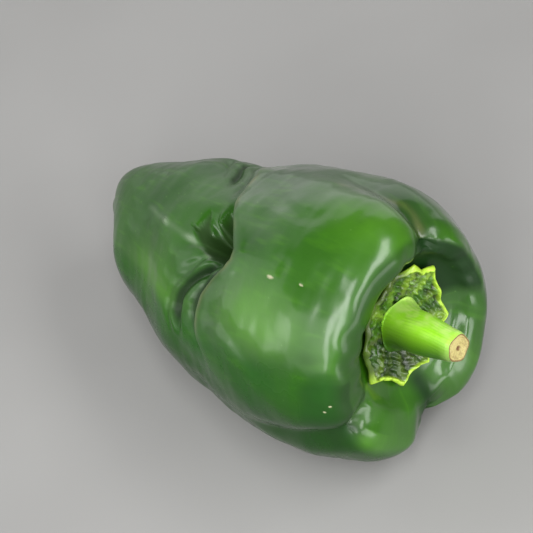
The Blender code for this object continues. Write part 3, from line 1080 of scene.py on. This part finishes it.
def product(tree, first, second):
    """One mask times another, or times a number."""
    return calculate(tree, "MULTIPLY", first, second)


def ramp(tree, value, start, end, low=0.0, high=1.0, kind="LINEAR"):
    """A number that goes from low to high as value goes from start to end, and stays there."""
    sockets = {"Value": value, "From Min": start, "From Max": end, "To Min": low, "To Max": high}
    node = add_node(tree, "ShaderNodeMapRange", {"interpolation_type": kind}, sockets)
    return node.outputs["Result"]


# %% Node groups


def new_group(name, output, **inputs):
    """A group with a Vector input, number inputs with their defaults, and one output that is a number.
    Gives the group and the sockets of its inputs."""
    group = bpy.data.node_groups.new(name, "ShaderNodeTree")
    group.interface.new_socket(name="Vector", in_out="INPUT", socket_type="NodeSocketVector")
    for label, value in inputs.items():
        socket = group.interface.new_socket(name=label, in_out="INPUT", socket_type="NodeSocketFloat")
        socket.default_value = value
    group.interface.new_socket(name=output, in_out="OUTPUT", socket_type="NodeSocketFloat")
    return group, group.nodes.new("NodeGroupInput").outputs


def give_out(group, socket):
    """The group, with this socket as what it puts out."""
    add_node(group, "NodeGroupOutput", (), {0: socket})
    return group


def drift_group():
    """Drift: fractal noise, stretched so that it is 0 up to Low and 1 from High."""
    group, given = new_group("drift", "Mask", Scale=5.0, Detail=3.0, Low=0.4, High=0.6)
    sockets = {name: given[name] for name in ("Vector", "Scale", "Detail")}
    noise = add_node(group, "ShaderNodeTexNoise", (), sockets).outputs["Fac"]
    return give_out(group, ramp(group, noise, given["Low"], given["High"], kind="SMOOTHSTEP"))


def grain_group():
    """Grain: the distance to the middle of a rounded cell, plus finer noise, as a height from 0 to 1."""
    group, given = new_group("grain", "Height", Cells=1500.0, Noise=0.4)
    sockets = {"Vector": given["Vector"], "Scale": given["Cells"]}
    rounded = {"Smoothness": 0.6, **sockets}
    cells = add_node(group, "ShaderNodeTexVoronoi", {"feature": "SMOOTH_F1"}, rounded)
    noise = add_node(group, "ShaderNodeTexNoise", (), {"Detail": 4.0, **sockets})
    heights = {0: given["Noise"], 2: cells.outputs["Distance"], 3: noise.outputs["Fac"]}
    return give_out(group, add_node(group, "ShaderNodeMix", {"data_type": "FLOAT"}, heights).outputs[0])


def specks_group():
    """Specks: a dot of radius Size in the cells whose random number is above 1 - Share."""
    group, given = new_group("specks", "Mask", Scale=300.0, Size=0.15, Share=0.2)
    sockets = {"Vector": given["Vector"], "Scale": given["Scale"]}
    cells = add_node(group, "ShaderNodeTexVoronoi", (), sockets).outputs
    dot = ramp(group, cells["Distance"], 0.0, given["Size"], 1.0, 0.0, kind="SMOOTHSTEP")
    drawn = add_node(group, "ShaderNodeSeparateColor", (), {"Color": cells["Color"]}).outputs["Red"]
    bound = calculate(group, "SUBTRACT", 1.0, given["Share"])
    return give_out(group, product(group, dot, calculate(group, "GREATER_THAN", drawn, bound)))


GROUPS = {"drift": drift_group(), "grain": grain_group(), "specks": specks_group()}
print("node groups:", sorted(GROUPS))

# %% [markdown]
# Materials are written as short recipes: start from a colour, then lay the next colour over it
# wherever a mask says so. What varies over the surface is then fed to the shader, and what doesn't is
# set on the shader itself.

# %% Helpers for recipes


def new_material(name, **constants):
    """A Principled material, with the constants set on the shader's own sockets."""
    made = bpy.data.materials.new(name)
    made.use_nodes = True
    shader = made.node_tree.nodes["Principled BSDF"]
    for label, value in constants.items():
        shader.inputs[label.replace("_", " ")].default_value = value
    return made, made.node_tree, shader


def feed(tree, shader, **sockets):
    """Links what varies over the surface to the shader's sockets."""
    for label, socket in sockets.items():
        tree.links.new(socket, shader.inputs[label.replace("_", " ")])


def use(tree, name, vector, **values):
    """A shared effect in this material: its output, from a vector and its own values."""
    sockets = {"Vector": vector, **values}
    return add_node(tree, "ShaderNodeGroup", {"node_tree": GROUPS[name]}, sockets).outputs[0]


def stored(tree, name, output="Fac"):
    """What a mesh keeps for each of its points."""
    return add_node(tree, "ShaderNodeAttribute", {"attribute_name": name}).outputs[output]


def lay(tree, under, over, mask):
    """The colour over laid on the colour under, where the mask is 1. Each is a colour or a socket."""
    under, over = ((*colour, 1.0) if isinstance(colour, tuple) else colour for colour in (under, over))
    sockets = {0: mask, 6: under, 7: over}
    return add_node(tree, "ShaderNodeMix", {"data_type": "RGBA"}, sockets).outputs[2]


def layered(tree, colour, layers):
    """A colour with layers laid over it in turn: (colour, mask, how much of it where the mask is 1)."""
    for over, mask, share in layers:
        colour = lay(tree, colour, over, product(tree, mask, share))
    return colour


def grain_bump(tree, spot, distance, **values):
    """A normal bumped by the grain, whose height of 1 stands for distance in metres."""
    sockets = {"Distance": distance, "Height": use(tree, "grain", spot, **values)}
    return add_node(tree, "ShaderNodeBump", (), sockets).outputs["Normal"]


def object_place(tree):
    """The point's place on the object, in metres, with its origin at the object's."""
    return add_node(tree, "ShaderNodeTexCoord").outputs["Object"]


# %% [markdown]
# ## The pod's skin
#
# A poblano's skin is a thin, waxy film over very dark green flesh. Painted shade makes it nearly black in
# the furrows, the wrinkles, the pit and the crown, and darker low on its sides. On the shoulders it turns
# to a warmer green, partly its own and partly painted light, and pale dots and corky scars lie on it. A
# thin ridge is partly pale in colour and partly a painted highlight, and a tan line beside a furrow is a
# painted reflection. The gloss comes from two layers: the skin itself, a little rough, and a smoother wax
# over it, which the shader's coat gives. The wax is cloudy, and it is rubbed off low on the near side and
# missing in the pit.

# %% Material of the pod
# Some of these colours are painted light and shade: the warm green partly, the shade, crown, below and pit
# greens wholly, the ridge's pale partly a highlight and the tan partly a reflection.
DEEP_GREEN = (0.008, 0.054, 0.001)
LEAF_GREEN = (0.018, 0.090, 0.002)
WARM_AND_LIT_GREEN = (0.052, 0.182, 0.003)
SHADED_BELOW_GREEN = (0.007, 0.066, 0.001)
RIDGE_PALE_AND_HIGHLIGHT = (0.200, 0.280, 0.170)
PAINTED_SHADE_GREEN = (0.002, 0.014, 0.001)
CROWN_SHADE_GREEN = (0.003, 0.026, 0.001)
PIT_SHADE_GREEN = (0.013, 0.044, 0.004)
SPECK_GREEN = (0.080, 0.200, 0.030)
TAN_AND_REFLECTION = (0.200, 0.200, 0.070)
CORK = (0.360, 0.360, 0.220)

# Values where a mask is 0 and where it is 1
WARM_CLOUDS = (0.45, 1.0)
BELOW_CLOUDS = (0.45, 0.95)
WAX_CLOUDS = (0.60, 1.0)
WAX_AT_CREASE = (0.5, 1.0)
SKIN_ROUGHNESS = (0.32, 0.42)

# What is left of the wax in some places, and how much rougher the skin is there
WAX_LEFT = {"rubbed": 0.05, "pit": 0.0, "wrinkle": 0.2, "hollow": 0.1}
ROUGHER = {"scar": 0.4, "pit": 0.3, "wrinkle": 0.2, "ridge": -0.15, "rubbed": -0.10, "hollow": 0.15}
SKIN_GRAIN = 0.00002


def pod_colour(tree, spot, masks):
    """The greens of the skin, then the marks that lie on them. Among them are painted light on the
    shoulders, painted shade in the hollows and below, a painted highlight on the ridge and a painted
    reflection beside a furrow.
    """
    grown = stored(tree, "grown", "Vector")
    warm = ramp(tree, use(tree, "drift", spot, Scale=60.0, Low=0.25, High=0.60), 0.0, 1.0, *WARM_CLOUDS)
    below = use(tree, "drift", spot, Scale=90.0, Detail=2.0, Low=0.35, High=0.65)
    below = ramp(tree, below, 0.0, 1.0, *BELOW_CLOUDS)
    layers = (
        (LEAF_GREEN, use(tree, "drift", spot, Scale=42.0, Low=0.36, High=0.66), 1.0),
        # Warmer green: partly the skin's own colour, partly painted light
        (WARM_AND_LIT_GREEN, product(tree, stored(tree, "warm"), warm), 1.0),
        (WARM_AND_LIT_GREEN, use(tree, "drift", grown, Scale=14.0, Detail=2.0, Low=0.50, High=0.80), 0.35),
        # Painted shade in the furrows
        (PAINTED_SHADE_GREEN, stored(tree, "furrow"), 0.55),
        # Painted shade in the crown's hollow
        (CROWN_SHADE_GREEN, masks["hollow"], 1.0),
        (SPECK_GREEN, use(tree, "specks", spot, Scale=420.0, Size=0.13, Share=0.22), 0.55),
        # Painted shade low on the near side, and on the underside
        (SHADED_BELOW_GREEN, product(tree, masks["rubbed"], below), 1.0),
        (PAINTED_SHADE_GREEN, stored(tree, "under"), 0.55),
        # Painted shade in the wrinkles
        (PAINTED_SHADE_GREEN, masks["wrinkle"], 0.85),
        # Tan along the crease, and a painted reflection beside the furrow
        (TAN_AND_REFLECTION, stored(tree, "seam"), 0.3),
        # Pale ridge, partly its own colour and partly a painted highlight, brightest at its spots
        (RIDGE_PALE_AND_HIGHLIGHT, masks["ridge"], 0.7),
        # Painted shade in the pit
        (PIT_SHADE_GREEN, masks["pit"], 1.0),
        (CORK, masks["scar"], 1.0),
    )
    return layered(tree, DEEP_GREEN, layers)


def pod_wax(tree, masks):
    """How much wax there is: cloudy, thinner on the tip's side of the crease, and nearly gone from the
    places in WAX_LEFT."""
    cloudy = use(tree, "drift", stored(tree, "hooped", "Vector"), Scale=5.0, Low=0.28, High=0.70)
    wax = ramp(tree, cloudy, 0.0, 1.0, *WAX_CLOUDS)
    wax = product(tree, wax, ramp(tree, stored(tree, "waxed"), 0.0, 1.0, *WAX_AT_CREASE))
    for name, left in WAX_LEFT.items():
        wax = product(tree, wax, ramp(tree, masks[name], 0.0, 1.0, 1.0, left))
    return wax


def pod_roughness(tree, spot, masks):
    """How rough the skin is under its wax: cloudy, plus what the places in ROUGHER add."""
    cloudy = use(tree, "drift", spot, Scale=160.0, Low=0.30, High=0.75)
    rough = ramp(tree, cloudy, 0.0, 1.0, *SKIN_ROUGHNESS)
    for name, more in ROUGHER.items():
        rough = calculate(tree, "ADD", rough, product(tree, masks[name], more))
    return rough


def pod_material():
    """The skin's material, from the masks that its mesh keeps."""
    made, tree, shader = new_material("pod skin", Coat_Roughness=0.17, Coat_IOR=1.50, IOR=1.36)
    spot = object_place(tree)
    masks = {name: stored(tree, name) for name in ("hollow", "rubbed", "ridge", "pit")}
    masks["wrinkle"] = ramp(tree, stored(tree, "wrinkle"), 0.25, 0.85)
    masks["scar"] = ramp(tree, stored(tree, "scar"), 0.25, 0.75)
    feed(
        tree,
        shader,
        Base_Color=pod_colour(tree, spot, masks),
        Coat_Weight=pod_wax(tree, masks),
        Roughness=pod_roughness(tree, spot, masks),
        Normal=grain_bump(tree, spot, SKIN_GRAIN, Cells=900.0, Noise=0.35),
    )
    return made


pod_skin.data.materials.append(pod_material())

# %% [markdown]
# ## The calyx and the stem
#
# Both are fresh green tissue without the pod's wax. The calyx is darker between its ribs and turns
# yellow-green at its thin margin, and shade is painted on its sheltered sides. The stem is the brightest
# green of all, streaked by its fibres, with painted light on its upper side, painted shade below and a
# painted highlight at its foot, and its cut has dried to cream and brown.

# %% Material of the calyx
CALYX_DARK = (0.003, 0.014, 0.001)
CALYX_GREEN = (0.040, 0.124, 0.006)
CALYX_SPECK = (0.220, 0.400, 0.080)
MARGIN_GREEN = (0.410, 0.640, 0.044)
CALYX_ROUGHNESS = (0.32, 0.50)
CALYX_GRAIN = 0.00004


def calyx_material():
    """Dark green with lighter bumps, ribs and specks, dark in the shade, and a pale margin."""
    made, tree, shader = new_material("calyx", Coat_Weight=0.35, Coat_Roughness=0.2)
    spot = object_place(tree)
    layers = (
        (CALYX_GREEN, use(tree, "drift", spot, Scale=260.0, Low=0.35, High=0.62), 1.0),
        (CALYX_GREEN, ramp(tree, stored(tree, "bumps"), 0.0, 1.2), 0.8),
        (MARGIN_GREEN, stored(tree, "rib"), 0.35),
        (CALYX_DARK, stored(tree, "shade"), 0.7),
        (CALYX_SPECK, use(tree, "specks", spot, Scale=620.0, Size=0.42, Share=0.14), 0.6),
        (MARGIN_GREEN, stored(tree, "margin"), 1.0),
    )
    dull = use(tree, "drift", spot, Scale=500.0, Low=0.3, High=0.7)
    feed(
        tree,
        shader,
        Base_Color=layered(tree, CALYX_DARK, layers),
        Roughness=ramp(tree, dull, 0.0, 1.0, *CALYX_ROUGHNESS),
        Normal=grain_bump(tree, spot, CALYX_GRAIN, Cells=2600.0, Noise=0.4),
    )
    return made


calyx_dish.data.materials.append(calyx_material())

# %% Material of the stem
# The stem's green and shade are painted light and painted shade across it, and its pale green is partly a
# painted highlight.
STEM_GREEN = (0.295, 0.690, 0.023)
STEM_PALE_AND_HIGHLIGHT = (0.470, 0.730, 0.150)
STEM_SHADE = (0.030, 0.105, 0.002)
CUT_CREAM = (0.430, 0.370, 0.140)
CUT_BROWN = (0.140, 0.066, 0.020)
STEM_ROUGHNESS = 0.34
CUT_ROUGHNESS = 0.75
STEM_GRAIN = 0.00003


def cut_colour(tree, spot):
    """The cut: cream, brown along its rim and in its middle, and stained in places."""
    spread = stored(tree, "spread")
    layers = (
        (CUT_BROWN, ramp(tree, spread, 0.86, 0.95), 1.0),
        (CUT_BROWN, ramp(tree, spread, 0.24, 0.12), 1.0),
        (CUT_BROWN, use(tree, "drift", spot, Scale=900.0, Low=0.45, High=0.75), 0.45),
    )
    return layered(tree, CUT_CREAM, layers)


def stem_material():
    """Painted light and shade: bright green on the side that faces the lamps over dark green below, lighter
    in streaks that are partly painted highlight, a painted highlight at the foot, and lighter by the cut.
    """
    made, tree, shader = new_material("stem", Coat_Weight=0.2, Coat_Roughness=0.15)
    spot = object_place(tree)
    sunny, along, cut = (stored(tree, name) for name in ("sunny", "along", "cut"))
    grown = stored(tree, "grown", "Vector")
    streaks = use(tree, "drift", grown, Scale=2.4, Detail=2.0, Low=0.35, High=0.72)
    # Painted highlight at the foot, on the side that faces the lamps
    foot = product(tree, ramp(tree, along, 0.34, 0.06), ramp(tree, sunny, 0.50, 0.95))
    layers = (
        # Painted light on the side that faces the lamps, over painted shade
        (STEM_GREEN, ramp(tree, sunny, 0.05, 0.60), 1.0),
        # Streaks along the fibres, partly a painted highlight on the lit side
        (STEM_PALE_AND_HIGHLIGHT, product(tree, streaks, ramp(tree, sunny, 0.35, 0.90)), 1.0),
        (STEM_SHADE, ramp(tree, stored(tree, "fibre"), 0.45, 0.0), 0.18),
        (STEM_PALE_AND_HIGHLIGHT, foot, 0.8),
        (STEM_PALE_AND_HIGHLIGHT, ramp(tree, along, 0.88, 1.0), 0.3),
        (cut_colour(tree, spot), cut, 1.0),
    )
    feed(
        tree,
        shader,
        Base_Color=layered(tree, STEM_SHADE, layers),
        Roughness=ramp(tree, cut, 0.0, 1.0, STEM_ROUGHNESS, CUT_ROUGHNESS),
        Normal=grain_bump(tree, spot, STEM_GRAIN, Cells=3000.0, Noise=0.5),
    )
    return made


stem_stalk.data.materials.append(stem_material())

# %% [markdown]
# ## Floor and light
#
# A glossy, dark thing is drawn by what it mirrors. Here that is a pale table and a few soft lights.
# Four tall panels stand edge to edge from behind the tip round to the front, and lay a milky sheen over
# most of the skin. A smaller, bright window among them lights up the nearest lobe. Three tubes hang on
# the side of the stem and draw the bright streaks along the crest. A low panel beyond the stem shines
# into the crown. The rest of the world is dim, so that the skin between the lights stays deep green.
#
# Blender's standard view keeps those greens as they are, where its film-like default would grey them.

# %% Floor
FLOOR_SIZE = 6.0
FLOOR_PALE = (0.27, 0.267, 0.260)
FLOOR_PALER = (0.30, 0.297, 0.290)


def make_floor():
    """The table top: one wide square, pale and faintly cloudy."""
    half = FLOOR_SIZE / 2
    mesh = bpy.data.meshes.new("table_top")
    corners = [(-half, -half, 0.0), (half, -half, 0.0), (half, half, 0.0), (-half, half, 0.0)]
    mesh.from_pydata(corners, [], [(0, 1, 2, 3)])
    floor = bpy.data.objects.new("table_top", mesh)
    bpy.context.scene.collection.objects.link(floor)
    made, tree, shader = new_material("table top", Roughness=0.55)
    cloudy = use(tree, "drift", object_place(tree), Scale=9.0, Low=0.3, High=0.7)
    feed(tree, shader, Base_Color=lay(tree, FLOOR_PALE, FLOOR_PALER, cloudy))
    mesh.materials.append(made)


make_floor()

# %% Lights
# Standing panels: (name, azimuth and width in degrees, lowest and highest elevation, distance, radiance)
PANELS = (
    ("panel behind the tip", -145.0, 60.0, 0.5, 40.0, 1.0, 0.85),
    ("panel by the tip", -95.0, 40.0, 0.5, 48.0, 1.0, 0.55),
    ("panel at the side", -50.0, 50.0, 2.0, 52.0, 1.0, 1.12),
    ("panel in front", 0.0, 50.0, 9.0, 54.0, 1.0, 1.65),
    ("bright window", -20.0, 26.0, 6.0, 32.0, 0.9, 2.20),
    ("low panel", 92.0, 40.0, 0.5, 20.0, 0.5, 4.6),
)
# Hanging tubes: (name, azimuth and elevation of one end, of the other end, distance, width, radiance)
TUBES = (
    ("near tube", (32.0, 9.0), (36.0, 62.0), 0.9, 0.16, 8.6),
    ("middle tube", (53.0, 8.0), (56.0, 84.0), 0.9, 0.18, 9.5),
    ("far tube", (84.0, 30.0), (152.0, 54.0), 0.9, 0.22, 7.5),
)
WORLD_GREY = 0.18


def add_light(name, centre, axes, width, height, radiance):
    """A rectangular soft light, whose own x, y and z axes are given and which shines back along z. A flat
    lamp's power is its radiance times pi times its area."""
    light = bpy.data.objects.new(name, bpy.data.lights.new(name, "AREA"))
    light.data.shape = "RECTANGLE"
    light.data.size = width
    light.data.size_y = height
    light.data.energy = radiance * math.pi * width * height
    light.matrix_world = Matrix.Translation(centre) @ Matrix(axes).transposed().to_4x4()
    light.visible_camera = False
    bpy.context.scene.collection.objects.link(light)


def add_panel(name, azimuth, width, lowest, highest, distance, radiance):
    """A panel that stands upright at a distance from the origin and faces it."""
    azimuth, width, lowest, highest = (math.radians(angle) for angle in (azimuth, width, lowest, highest))
    low, high = distance * math.tan(lowest), distance * math.tan(highest)
    back = direction(azimuth, 0.0)
    level = Vector((math.cos(azimuth), math.sin(azimuth), 0.0))
    centre = back * distance + Vector((0.0, 0.0, (low + high) / 2))
    axes = (level, back.cross(level), back)
    add_light(name, centre, axes, 2.0 * distance * math.tan(width / 2), high - low, radiance)


def add_tube(name, start, end, distance, width, radiance):
    """A long, narrow light between two directions from the middle of the pepper."""
    start, end = (direction(*(math.radians(angle) for angle in seen)) for seen in (start, end))
    back = (start + end).normalized()
    along = (end - start).normalized()
    axes = (along.cross(back), along, back)
    add_light(name, middle + back * distance, axes, width, (end - start).length * distance, radiance)


for panel in PANELS:
    add_panel(*panel)
for tube in TUBES:
    add_tube(*tube)

world = bpy.data.worlds.new("dim studio")
world.use_nodes = True
dim = (WORLD_GREY, WORLD_GREY, WORLD_GREY, 1.0)
world.node_tree.nodes["Background"].inputs["Color"].default_value = dim
bpy.context.scene.world = world
bpy.context.scene.view_settings.view_transform = "Standard"
print("lights:", len(PANELS) + len(TUBES))
